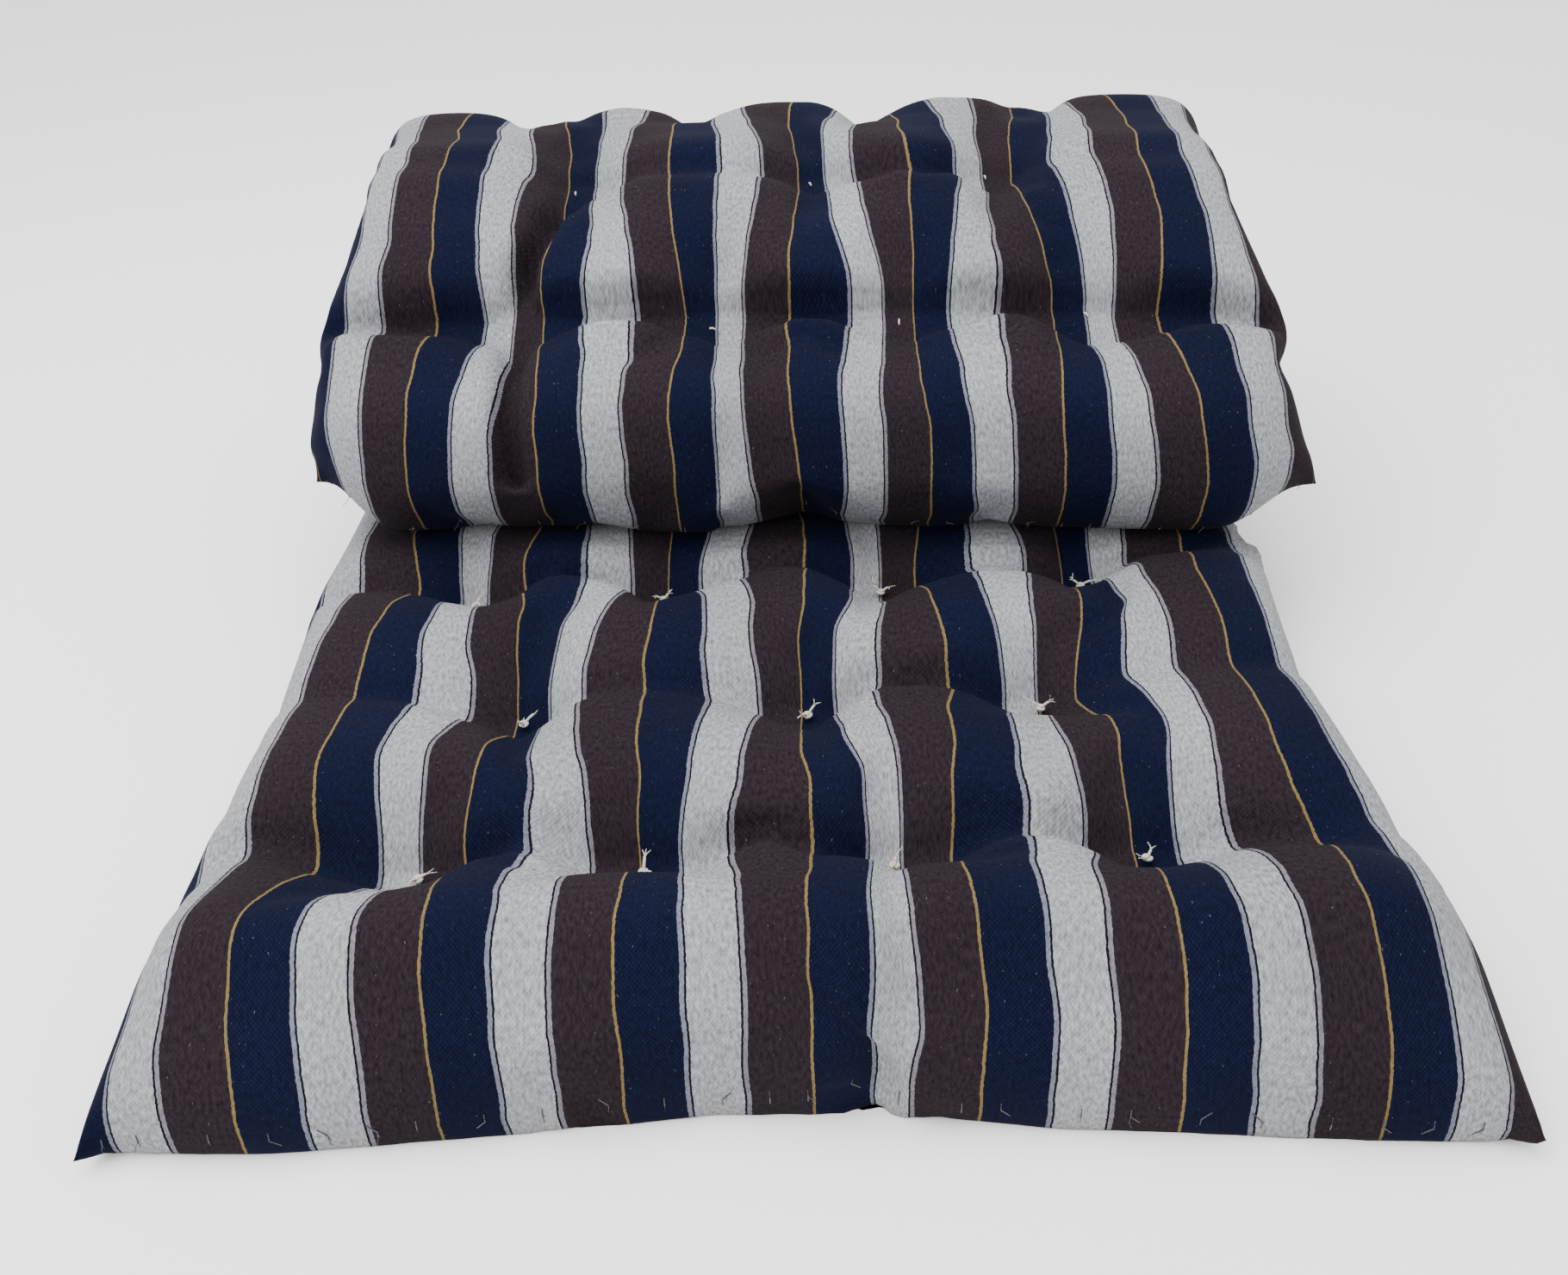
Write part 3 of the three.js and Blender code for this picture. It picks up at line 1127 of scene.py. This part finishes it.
@dataclass
class TwineTies:
    """The cotton twine of every tie: a flat knot in each dimple, with two cut ends standing out."""

    fold: Fold
    ties: list[Tie]
    surface: float = 14 * MM
    twine: float = 1.3 * MM
    knot: float = 3.0 * MM
    knot_steps: int = 10
    knot_round: float = 0.93
    shortest: float = 6 * MM
    longest: float = 13 * MM
    fibres: int = 4
    fibre: float = 0.4 * MM
    seed: int = 41

    def build(self, twine: bpy.types.Material) -> list[bpy.types.Object]:
        """Builds every tie.

        Args:
            twine: The twine's material.

        Returns:
            The pieces, one for each tie.
        """
        pieces = []
        for tie in self.ties:
            dice = random.Random(self.seed * 1000 + tie.row * 10 + tie.number)
            net = bmesh.new()
            for side in Side:
                self._tuft(net, tie, side, dice)
            piece = smooth_piece(f"twine_row{tie.row}_{tie.number}", net, twine)
            self._fold_down(piece, tie)
            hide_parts(tie.node)
            LOG.info("%s: %d vertices", piece.name, len(piece.data.vertices))
            pieces.append(piece)
        return pieces

    def _fold_down(self, piece: bpy.types.Object, tie: Tie) -> None:
        """Folds a tie that was built flat, and parents it to the lower layer if its row has no hinge.

        Args:
            piece: The tie's piece.
            tie: The tie.
        """
        places = places_of(piece.data)
        put_places(piece.data, self.fold.rest(places))
        if tie.row in self.fold.hinges:
            self.fold.follow(piece, tie.row, places[:, 1])
        else:
            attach(piece, "lower_layer")

    def _tuft(self, net: bmesh.types.BMesh, tie: Tie, side: Side, dice: random.Random) -> None:
        """Adds one side of a tie: a small stitch on the back, or a knot and two ends on the face.

        Args:
            net: The bmesh that it goes into.
            tie: The tie.
            side: The side of the mattress.
            dice: The tie's own random draws.
        """
        up = side.value
        start = dice.uniform(0.0, math.tau)
        reach = Vector((self.knot * math.cos(start), self.knot * math.sin(start), 0.0))
        if side is Side.BACK:
            low = Vector((tie.across, tie.along, up * (self.surface - self.twine)))
            rise = Vector((0.0, 0.0, up * self.twine))
            Strand((low + reach, low + rise, low - reach), self.twine * 0.7).sweep(net)
            return
        centre = Vector((tie.across, tie.along, up * (self.surface + 0.6 * self.twine)))
        knot = []
        for step in range(self.knot_steps + 1):
            angle = start + math.tau * self.knot_round * step / self.knot_steps
            rise = up * self.twine * (0.2 + 0.9 * math.sin(math.pi * step / self.knot_steps))
            loop = Vector((self.knot * math.cos(angle), self.knot * math.sin(angle), rise))
            knot.append(centre + loop)
        Strand(tuple(knot), self.twine).sweep(net)
        across = (centre + reach, centre + Vector((0.0, 0.0, up * 1.8 * self.twine)), centre - reach)
        Strand(across, self.twine).sweep(net)
        for turn in (0.0, dice.uniform(1.9, 3.6)):
            heading = start + turn
            self._end(net, centre, up, heading, dice.uniform(self.shortest, self.longest), dice)

    def _end(
        self,
        net: bmesh.types.BMesh,
        centre: Vector,
        up: float,
        heading: float,
        length: float,
        dice: random.Random,
    ) -> None:
        """Adds one cut end with its frayed fibres.

        Args:
            net: The bmesh that it goes into.
            centre: The knot's middle.
            up: 1 on the face, -1 on the back.
            heading: The way it lies, round the knot.
            length: How long it is.
            dice: The tie's own random draws.
        """
        lean = Vector((math.cos(heading), math.sin(heading), 0.0))
        raised = Vector((0.0, 0.0, up))
        tilt = dice.uniform(0.45, 0.95)
        path = []
        for step in range(6):
            share = step / 5.0
            out = lean * (length * share * (0.35 + 0.65 * tilt))
            rise = raised * (length * share * (1.0 - 0.45 * tilt * share))
            path.append(centre + out + rise)
        Strand(tuple(path), self.twine * 0.85, tip_share=0.8).sweep(net)
        tip = path[-1]
        onwards = (path[-1] - path[-2]).normalized()
        for _ in range(self.fibres):
            spread = Vector(dice.uniform(-0.55, 0.55) for _ in range(3))
            reach = dice.uniform(3.0, 6.0) * MM
            bend = tip + (onwards + spread) * reach * 0.5
            finish = tip + (onwards + spread * 1.5) * reach
            Strand((tip - onwards * MM, bend, finish), self.fibre, sides=5).sweep(net)


@dataclass
class EndSeam:
    """The hand-sewn seam across one end: whip stitches over the edge, and short frayed threads."""

    name: str
    node: str
    body: str
    bag: Bag
    along: float
    inward: float
    thread: float = 0.45 * MM
    spacing: float = 34 * MM
    slant: float = 3.0 * MM
    frayed: float = 0.2
    seed: int = 7

    def build(self, twine: bpy.types.Material) -> bpy.types.Object:
        """Sews the seam.

        Args:
            twine: The thread's material.

        Returns:
            The piece.
        """
        dice = random.Random(self.seed)
        net = bmesh.new()
        edge = self._line(0.0, 0.0)
        face = self._line(self.inward, Side.FACE.value)
        back = self._line(self.inward, Side.BACK.value)
        across = self.bag.cloth[edge, 0]
        place = across.min() + self.spacing
        while place < across.max() - self.spacing:
            slant = dice.uniform(-self.slant, self.slant)
            points = [
                self._lifted(face, place - slant, 0.3),
                self._lifted(edge, place, 1.2),
                self._lifted(back, place + slant, 0.3),
            ]
            Strand(tuple(points), self.thread, sides=6).sweep(net)
            if dice.random() < self.frayed:
                self._fray(net, points[1], dice)
            place += self.spacing * dice.uniform(0.7, 1.35)
        piece = smooth_piece(self.name, net, twine)
        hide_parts(self.node)
        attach(piece, self.body)
        LOG.info("%s: sewn", self.name)
        return piece

    def _line(self, inward: float, side: float) -> np.ndarray:
        """Finds the vertices of a line across the cloth.

        Args:
            inward: How far the line is from the end.
            side: 1 for the face, -1 for the back, 0 for the seam itself.

        Returns:
            The vertices' numbers, from left to right.
        """
        target = self.along + inward
        on_side = self.bag.side * side > 0.3 if side else np.abs(self.bag.side) < 0.1
        gaps = np.abs(self.bag.cloth[:, 1] - target)
        nearest = gaps[on_side].min()
        chosen = np.where(on_side & (gaps < nearest + 0.1 * MM))[0]
        return chosen[np.argsort(self.bag.cloth[chosen, 0])]

    def _lifted(self, line: np.ndarray, across: float, rise: float) -> Vector:
        """A place on a line of the cloth, pushed out of the seam by the thread's own radius."""
        index = line[np.abs(self.bag.cloth[line, 0] - across).argmin()]
        return Vector(self.bag.places[index]) + OUTWARD * (rise * self.thread)

    def _fray(self, net: bmesh.types.BMesh, root: Vector, dice: random.Random) -> None:
        """Adds a short loose thread.

        Args:
            net: The bmesh that it goes into.
            root: Where it hangs from.
            dice: The seam's own random draws.
        """
        heading = dice.uniform(-2.6, -0.5)
        reach = dice.uniform(5.0, 11.0) * MM
        drop = dice.uniform(-0.6, 0.1)
        step = Vector((math.cos(heading), math.sin(heading), drop)) * reach
        sideways = Vector((-step.y, step.x, 0.0)) * dice.uniform(-0.3, 0.3)
        path = (root, root + step * 0.5 + sideways, root + step)
        kept = tuple(Vector((point.x, point.y, max(point.z, MM))) for point in path)
        Strand(kept, self.thread * 0.6, sides=5).sweep(net)


# ------------------------------------------------------------------------------------------------
# Finishes
# ------------------------------------------------------------------------------------------------


def new_group(name: str, inputs: dict[str, str], outputs: dict[str, str]) -> bpy.types.NodeTree:
    """Makes an empty shader node group with named sockets.

    Args:
        name: The group's name.
        inputs: Socket type by name.
        outputs: Socket type by name.

    Returns:
        The group, with its input and output nodes.
    """
    group = bpy.data.node_groups.new(name, "ShaderNodeTree")
    for socket, kind in inputs.items():
        group.interface.new_socket(name=socket, in_out="INPUT", socket_type=kind)
    for socket, kind in outputs.items():
        group.interface.new_socket(name=socket, in_out="OUTPUT", socket_type=kind)
    group.nodes.new("NodeGroupInput").name = "Given"
    group.nodes.new("NodeGroupOutput").name = "Made"
    return group


@dataclass
class Wiring:
    """Short ways to add and link nodes in one node tree."""

    tree: bpy.types.NodeTree

    def math(self, operation: str, first: Any, second: Any = 0.0, third: Any = 0.0) -> Any:
        """Adds a Math node.

        Args:
            operation: What it does.
            first: Its first value, a socket or a number.
            second: Its second value.
            third: Its third value.

        Returns:
            The node's result.
        """
        node = self.tree.nodes.new("ShaderNodeMath")
        node.operation = operation
        for socket, value in zip(node.inputs, (first, second, third)):
            self.feed(socket, value)
        return node.outputs[0]

    def feed(self, socket: bpy.types.NodeSocket, value: Any) -> None:
        """Links a socket to another one, or sets its value.

        Args:
            socket: The socket that takes it.
            value: The other socket, or a number or colour.
        """
        if isinstance(value, bpy.types.NodeSocket):
            self.tree.links.new(value, socket)
        else:
            socket.default_value = value

    def noise(self, vector: Any, scale: tuple[float, float, float], detail: float = 2.0) -> Any:
        """Adds a Noise texture on a scaled vector.

        Args:
            vector: The place.
            scale: How fine the noise is along each axis, per metre.
            detail: The noise's octaves.

        Returns:
            The noise's value.
        """
        scaled = self.tree.nodes.new("ShaderNodeVectorMath")
        scaled.operation = "MULTIPLY"
        self.feed(scaled.inputs[0], vector)
        scaled.inputs[1].default_value = scale
        node = self.tree.nodes.new("ShaderNodeTexNoise")
        node.inputs["Scale"].default_value = 1.0
        node.inputs["Detail"].default_value = detail
        self.feed(node.inputs["Vector"], scaled.outputs[0])
        return node.outputs["Fac"]

    def steps(self, factor: Any, stops: list[tuple[float, tuple[float, ...]]]) -> Any:
        """Adds a Color Ramp that goes from colour to colour in steps.

        Args:
            factor: What it is read by.
            stops: Where each colour starts, and the colour.

        Returns:
            The ramp's colour.
        """
        node = self.tree.nodes.new("ShaderNodeValToRGB")
        node.color_ramp.interpolation = "CONSTANT"
        elements = node.color_ramp.elements
        elements[0].position, elements[0].color = stops[0]
        elements[1].position, elements[1].color = stops[1]
        for position, colour in stops[2:]:
            elements.new(position).color = colour
        self.feed(node.inputs["Fac"], factor)
        return node.outputs["Color"]

    def mix(self, factor: Any, first: Any, second: Any, blend: str = "MIX") -> Any:
        """Adds a Mix node for colours.

        Args:
            factor: How much of the second colour shows.
            first: The first colour.
            second: The second colour.
            blend: How the two are blended.

        Returns:
            The mixed colour.
        """
        node = self.tree.nodes.new("ShaderNodeMix")
        node.data_type = "RGBA"
        node.blend_type = blend
        self.feed(node.inputs[0], factor)
        self.feed(node.inputs[6], first)
        self.feed(node.inputs[7], second)
        return node.outputs[2]

    def range(self, value: Any, low: float, high: float, to_low: float, to_high: float) -> Any:
        """Adds a Map Range node.

        Args:
            value: What is mapped.
            low: The value that becomes to_low.
            high: The value that becomes to_high.
            to_low: The result at low.
            to_high: The result at high.

        Returns:
            The result.
        """
        node = self.tree.nodes.new("ShaderNodeMapRange")
        self.feed(node.inputs[0], value)
        for socket, number in zip(node.inputs[1:5], (low, high, to_low, to_high)):
            socket.default_value = number
        return node.outputs[0]

    def group(self, group: bpy.types.NodeTree, **given: Any) -> bpy.types.Node:
        """Adds a group node with its inputs set.

        Args:
            group: The group.
            given: A socket or a number for each named input.

        Returns:
            The node.
        """
        node = self.tree.nodes.new("ShaderNodeGroup")
        node.node_tree = group
        for name, value in given.items():
            self.feed(node.inputs[name], value)
        return node


@dataclass(frozen=True)
class Band:
    """One coloured band of the ticking: its width, its colour, and how strongly its yarn is flecked."""

    width: float
    colour: tuple[float, float, float, float]
    heather: float


@dataclass(frozen=True)
class Ticking:
    """Striped cotton ticking, woven plain: the colour is in the warp and one grey weft crosses it."""

    repeat: float = 120 * MM
    warp_pitch: float = 1.5 * MM
    bands: tuple[Band, ...] = (
        Band(1.5, linear(104, 87, 52), 0.4),
        Band(37.4, linear(5, 10, 31), 0.8),
        Band(2.6, linear(98, 100, 112), 0.6),
        Band(1.5, linear(10, 10, 20), 0.5),
        Band(31.0, linear(131, 132, 136), 0.85),
        Band(1.5, linear(10, 9, 15), 0.5),
        Band(2.6, linear(102, 100, 108), 0.6),
        Band(38.5, linear(31, 24, 28), 1.0),
    )

    waver: float = 0.3 * MM
    sway: float = 4.0 * MM
    weft_share: float = 0.14
    weft_colour: tuple[float, float, float, float] = linear(38, 39, 48)
    streaks: float = 0.5
    patches: float = 0.1
    thick_picks: float = 0.12
    light_flecks: float = 0.3
    light_colour: tuple[float, float, float, float] = linear(120, 120, 130)
    dark_flecks: float = 0.45
    dark_colour: tuple[float, float, float, float] = linear(38, 38, 50)
    crumples: float = 3.2
    bump: float = 0.55
    bump_depth: float = 0.45 * MM

    def stripes(self) -> bpy.types.NodeTree:
        """Makes the group that lays the bands across the cloth.

        Returns:
            The group, from the cloth's place to its colour and how strongly it is flecked.
        """
        group = new_group(
            "ticking stripes",
            {"Cloth": "NodeSocketVector"},
            {"Color": "NodeSocketColor", "Heather": "NodeSocketFloat"},
        )
        wiring = Wiring(group)
        given = group.nodes["Given"].outputs["Cloth"]
        split = group.nodes.new("ShaderNodeSeparateXYZ")
        wiring.feed(split.inputs[0], given)
        fine = wiring.noise(given, (180.0, 320.0, 0.0))
        waver = wiring.range(fine, 0.3, 0.7, -self.waver, self.waver)
        coarse = wiring.noise(given, (3.0, 9.0, 0.0))
        sway = wiring.range(coarse, 0.3, 0.7, -self.sway, self.sway)
        across = wiring.math("ADD", wiring.math("ADD", split.outputs[0], waver), sway)
        place = wiring.math("FRACT", wiring.math("DIVIDE", across, self.repeat))
        total = sum(band.width for band in self.bands)
        start = 0.0
        colours = []
        heathers = []
        for band in self.bands:
            colours.append((start / total, band.colour))
            heathers.append((start / total, (band.heather,) * 3 + (1.0,)))
            start += band.width
        made = group.nodes["Made"]
        wiring.feed(made.inputs["Color"], wiring.steps(place, colours))
        wiring.feed(made.inputs["Heather"], wiring.steps(place, heathers))
        return group

    def weave(self) -> bpy.types.NodeTree:
        """Makes the group for the plain weave, over and under.

        Returns:
            The group, from the cloth's place to the height and where the weft shows.
        """
        group = new_group(
            "plain weave",
            {"Cloth": "NodeSocketVector"},
            {"Height": "NodeSocketFloat", "Weft": "NodeSocketFloat"},
        )
        wiring = Wiring(group)
        given = group.nodes["Given"].outputs["Cloth"]
        split = group.nodes.new("ShaderNodeSeparateXYZ")
        wiring.feed(split.inputs[0], given)
        uneven = wiring.range(wiring.noise(given, (260.0, 260.0, 0.0)), 0.3, 0.7, -0.35, 0.35)
        turn = math.tau / (2.0 * self.warp_pitch)
        warp = wiring.math("SINE", wiring.math("MULTIPLY_ADD", split.outputs[0], turn, uneven))
        weft = wiring.math("SINE", wiring.math("MULTIPLY_ADD", split.outputs[1], turn, uneven))
        over = wiring.math("MULTIPLY", warp, weft)
        made = group.nodes["Made"]
        wiring.feed(made.inputs["Height"], wiring.range(over, -1.0, 1.0, 0.0, 1.0))
        wiring.feed(made.inputs["Weft"], wiring.range(over, -0.5, 0.5, 0.0, 1.0))
        return group

    def slubs(self) -> bpy.types.NodeTree:
        """Makes the group for the yarn's flecks: light slubs, dark specks and thick weft picks.

        Returns:
            The group, from the cloth's place to one mask for each.
        """
        masks = dict.fromkeys(("Fibre", "Light", "Dark", "Pick"), "NodeSocketFloat")
        group = new_group("cotton slubs", {"Cloth": "NodeSocketVector"}, masks)
        wiring = Wiring(group)
        given = group.nodes["Given"].outputs["Cloth"]
        made = group.nodes["Made"]
        fibre = wiring.noise(given, (430.0, 210.0, 0.0), 4.0)
        wiring.feed(made.inputs["Fibre"], wiring.range(fibre, 0.28, 0.72, -1.0, 1.0))
        light = wiring.noise(given, (560.0, 330.0, 3.0), 1.0)
        wiring.feed(made.inputs["Light"], wiring.range(light, 0.735, 0.79, 0.0, 1.0))
        dark = wiring.noise(given, (330.0, 300.0, 9.0), 1.0)
        wiring.feed(made.inputs["Dark"], wiring.range(dark, 0.28, 0.22, 0.0, 1.0))
        pick = wiring.noise(given, (14.0, 640.0, 5.0), 1.0)
        wiring.feed(made.inputs["Pick"], wiring.range(pick, 0.62, 0.75, 0.0, 1.0))
        return group

    def material(self) -> bpy.types.Material:
        """Makes the ticking's material.

        Returns:
            The material, on the piece's own cloth map.
        """
        made = bpy.data.materials.new("striped_ticking_cloth")
        made.use_nodes = True
        tree = made.node_tree
        wiring = Wiring(tree)
        shader = tree.nodes["Principled BSDF"]
        cloth_map = tree.nodes.new("ShaderNodeUVMap")
        cloth_map.uv_map = CLOTH_MAP
        cloth = cloth_map.outputs[0]
        stripes = wiring.group(self.stripes(), Cloth=cloth)
        weave = wiring.group(self.weave(), Cloth=cloth)
        slubs = wiring.group(self.slubs(), Cloth=cloth)
        colour = stripes.outputs["Color"]
        crossing = wiring.math("MULTIPLY", weave.outputs["Weft"], self.weft_share)
        colour = wiring.mix(crossing, colour, self.weft_colour)
        streak = wiring.math("MULTIPLY", slubs.outputs["Fibre"], stripes.outputs["Heather"])
        shade = wiring.math("MULTIPLY_ADD", streak, self.streaks, 1.0)
        patch = wiring.noise(cloth, (7.0, 5.0, 0.0), 3.0)
        patch = wiring.range(patch, 0.3, 0.7, 1.0 - self.patches, 1.0 + self.patches)
        shade = wiring.math("MULTIPLY", shade, patch)
        shade = wiring.math("MULTIPLY_ADD", slubs.outputs["Pick"], self.thick_picks, shade)
        grey = tree.nodes.new("ShaderNodeCombineXYZ")
        for socket in grey.inputs:
            wiring.feed(socket, shade)
        colour = wiring.mix(1.0, colour, grey.outputs[0], "MULTIPLY")
        light = wiring.math("MULTIPLY", slubs.outputs["Light"], self.light_flecks)
        colour = wiring.mix(light, colour, self.light_colour)
        dark = wiring.math("MULTIPLY", slubs.outputs["Dark"], self.dark_flecks)
        colour = wiring.mix(dark, colour, self.dark_colour)
        wiring.feed(shader.inputs["Base Color"], colour)
        rough = wiring.range(slubs.outputs["Fibre"], -1.0, 1.0, 0.82, 0.97)
        wiring.feed(shader.inputs["Roughness"], rough)
        shader.inputs["Specular IOR Level"].default_value = 0.03
        shader.inputs["Sheen Weight"].default_value = 0.01
        shader.inputs["Sheen Roughness"].default_value = 0.5
        crumple = wiring.noise(cloth, (46.0, 30.0, 0.0), 4.0)
        height = wiring.math("MULTIPLY_ADD", crumple, self.crumples, weave.outputs["Height"])
        height = wiring.math("MULTIPLY_ADD", slubs.outputs["Light"], 0.6, height)
        bump = tree.nodes.new("ShaderNodeBump")
        bump.inputs["Strength"].default_value = self.bump
        bump.inputs["Distance"].default_value = self.bump_depth
        wiring.feed(bump.inputs["Height"], height)
        wiring.feed(shader.inputs["Normal"], bump.outputs[0])
        return made


@dataclass(frozen=True)
class Twine:
    """Cotton twine or thread, laid in plies."""

    name: str = "undyed_cotton_twine"
    colour: tuple[float, float, float, float] = linear(214, 208, 196)
    shadow: tuple[float, float, float, float] = linear(150, 142, 128)

    def material(self) -> bpy.types.Material:
        """Makes the twine's material, on Object coordinates.

        Returns:
            The material.
        """
        made = bpy.data.materials.new(self.name)
        made.use_nodes = True
        tree = made.node_tree
        wiring = Wiring(tree)
        shader = tree.nodes["Principled BSDF"]
        place = tree.nodes.new("ShaderNodeTexCoord").outputs["Object"]
        plies = tree.nodes.new("ShaderNodeTexWave")
        plies.bands_direction = "DIAGONAL"
        plies.inputs["Scale"].default_value = 260.0
        plies.inputs["Distortion"].default_value = 2.5
        wiring.feed(plies.inputs["Vector"], place)
        fuzz = wiring.noise(place, (1400.0, 1400.0, 1400.0), 2.0)
        colour = wiring.mix(plies.outputs["Fac"], self.shadow, self.colour)
        wiring.feed(shader.inputs["Base Color"], colour)
        wiring.feed(shader.inputs["Roughness"], wiring.range(fuzz, 0.0, 1.0, 0.8, 1.0))
        shader.inputs["Sheen Weight"].default_value = 0.2
        bump = tree.nodes.new("ShaderNodeBump")
        bump.inputs["Strength"].default_value = 0.6
        bump.inputs["Distance"].default_value = 0.3 * MM
        wiring.feed(bump.inputs["Height"], wiring.math("ADD", plies.outputs["Fac"], fuzz))
        wiring.feed(shader.inputs["Normal"], bump.outputs[0])
        return made


# ------------------------------------------------------------------------------------------------
# The studio
# ------------------------------------------------------------------------------------------------


@dataclass(frozen=True)
class Lamp:
    """A square area light: its name, place, size in metres and power in watts."""

    name: str
    place: tuple[float, float, float]
    size: float
    power: float


@dataclass
class Studio:
    """The floor, the soft light and the camera."""

    eye: tuple[float, float, float] = (0.021, -1.215, 0.845)
    lens: float = 35.6
    pitch: float = 34.5
    yaw: float = -1.61
    roll: float = -2.8
    floor_size: float = 14.0
    floor_albedo: float = 0.93
    world_light: float = 1.7
    aim: tuple[float, float, float] = (0.0, 0.0, 0.15)
    lamps: tuple[Lamp, ...] = (
        Lamp("ceiling_light", (-0.4, -0.1, 2.5), 2.2, 92.0),
        Lamp("window_light", (-2.0, -1.6, 1.9), 1.8, 34.0),
    )

    def camera(self) -> None:
        """Sets up the camera from its place and its three angles."""
        pitch, yaw, roll = (math.radians(angle) for angle in (self.pitch, self.yaw, self.roll))
        ahead = math.cos(pitch)
        forward = Vector((math.sin(yaw) * ahead, math.cos(yaw) * ahead, -math.sin(pitch)))
        level = Vector((math.cos(yaw), -math.sin(yaw), 0.0))
        upward = level.cross(forward)
        right = level * math.cos(roll) + upward * math.sin(roll)
        up = upward * math.cos(roll) - level * math.sin(roll)
        turn = Matrix((right, up, -forward)).transposed().to_4x4()
        data = bpy.data.cameras.new("camera")
        data.lens = self.lens
        data.sensor_width = 36.0
        data.clip_end = 60.0
        made = put_in_scene("camera", data)
        made.matrix_world = Matrix.Translation(self.eye) @ turn
        bpy.context.scene.camera = made

    def floor(self) -> None:
        """Lays the plain pale floor."""
        net = bmesh.new()
        bmesh.ops.create_grid(net, x_segments=1, y_segments=1, size=self.floor_size / 2.0)
        mesh = mesh_of("floor", net)
        pale = bpy.data.materials.new("pale_floor")
        pale.use_nodes = True
        shader = pale.node_tree.nodes["Principled BSDF"]
        shader.inputs["Base Color"].default_value = (self.floor_albedo,) * 3 + (1.0,)
        shader.inputs["Roughness"].default_value = 0.9
        mesh.materials.append(pale)
        put_in_scene("floor", mesh)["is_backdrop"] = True

    def lights(self) -> None:
        """Hangs the lights so that they face the mattress, and lights the room evenly."""
        for lamp in self.lamps:
            data = bpy.data.lights.new(lamp.name, "AREA")
            data.size = lamp.size
            data.energy = lamp.power
            way = Vector(self.aim) - Vector(lamp.place)
            turn = way.to_track_quat("-Z", "Y").to_matrix().to_4x4()
            put_in_scene(lamp.name, data).matrix_world = Matrix.Translation(lamp.place) @ turn
        world = bpy.data.worlds.new("room")
        world.use_nodes = True
        world.node_tree.nodes["Background"].inputs["Color"].default_value = (1.0, 1.0, 1.0, 1.0)
        world.node_tree.nodes["Background"].inputs["Strength"].default_value = self.world_light
        bpy.context.scene.world = world


def main() -> None:
    """Builds the mattress around its frame."""
    logging.basicConfig(level=logging.INFO, format="%(name)s: %(message)s")
    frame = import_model()
    cad_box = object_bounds()
    studio = Studio()
    studio.camera()
    studio.floor()
    studio.lights()
    fold = Fold.from_frame(frame)
    ties = read_ties(frame, fold)
    width = cad_box[1].x - cad_box[0].x
    columns, front_parts = ((80, 90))
    filling = Filling(fold, ties, width / 2.0 + BODY_EASE, columns=columns)
    bag = filling.fill()
    LOG.info("filled: %.3f m high, %.3f m wide", np.ptp(bag.flat[:, 2]), np.ptp(bag.flat[:, 0]))
    creases = Puckers(fold, ties, width / 2.0).creases()
    Settling(fold, creases, front_parts=front_parts).settle(bag, width)
    ticking = Ticking().material()
    twine = Twine().material()
    # Half a cell of the filled bag, so that a seam's stitches reach the first line inside the edge.
    step = fold.length / (4 * filling.columns)
    start = float(bag.cloth[:, 1].min())
    front = EndSeam("seam_front", "end_seam_panel_1", "panel_1", bag, start, step)
    finish = float(bag.cloth[:, 1].max())
    far = EndSeam("seam_far", "end_seam_panel_10", "panel_10", bag, finish, -step, seed=8)
    thread = Twine("dark_seam_thread", linear(62, 62, 72), linear(26, 26, 34)).material()
    front.build(thread)
    far.build(thread)
    TwineTies(fold, ties).build(twine)
    Cover(fold, bag).build(ticking)


if __name__ == "__main__":
    main()
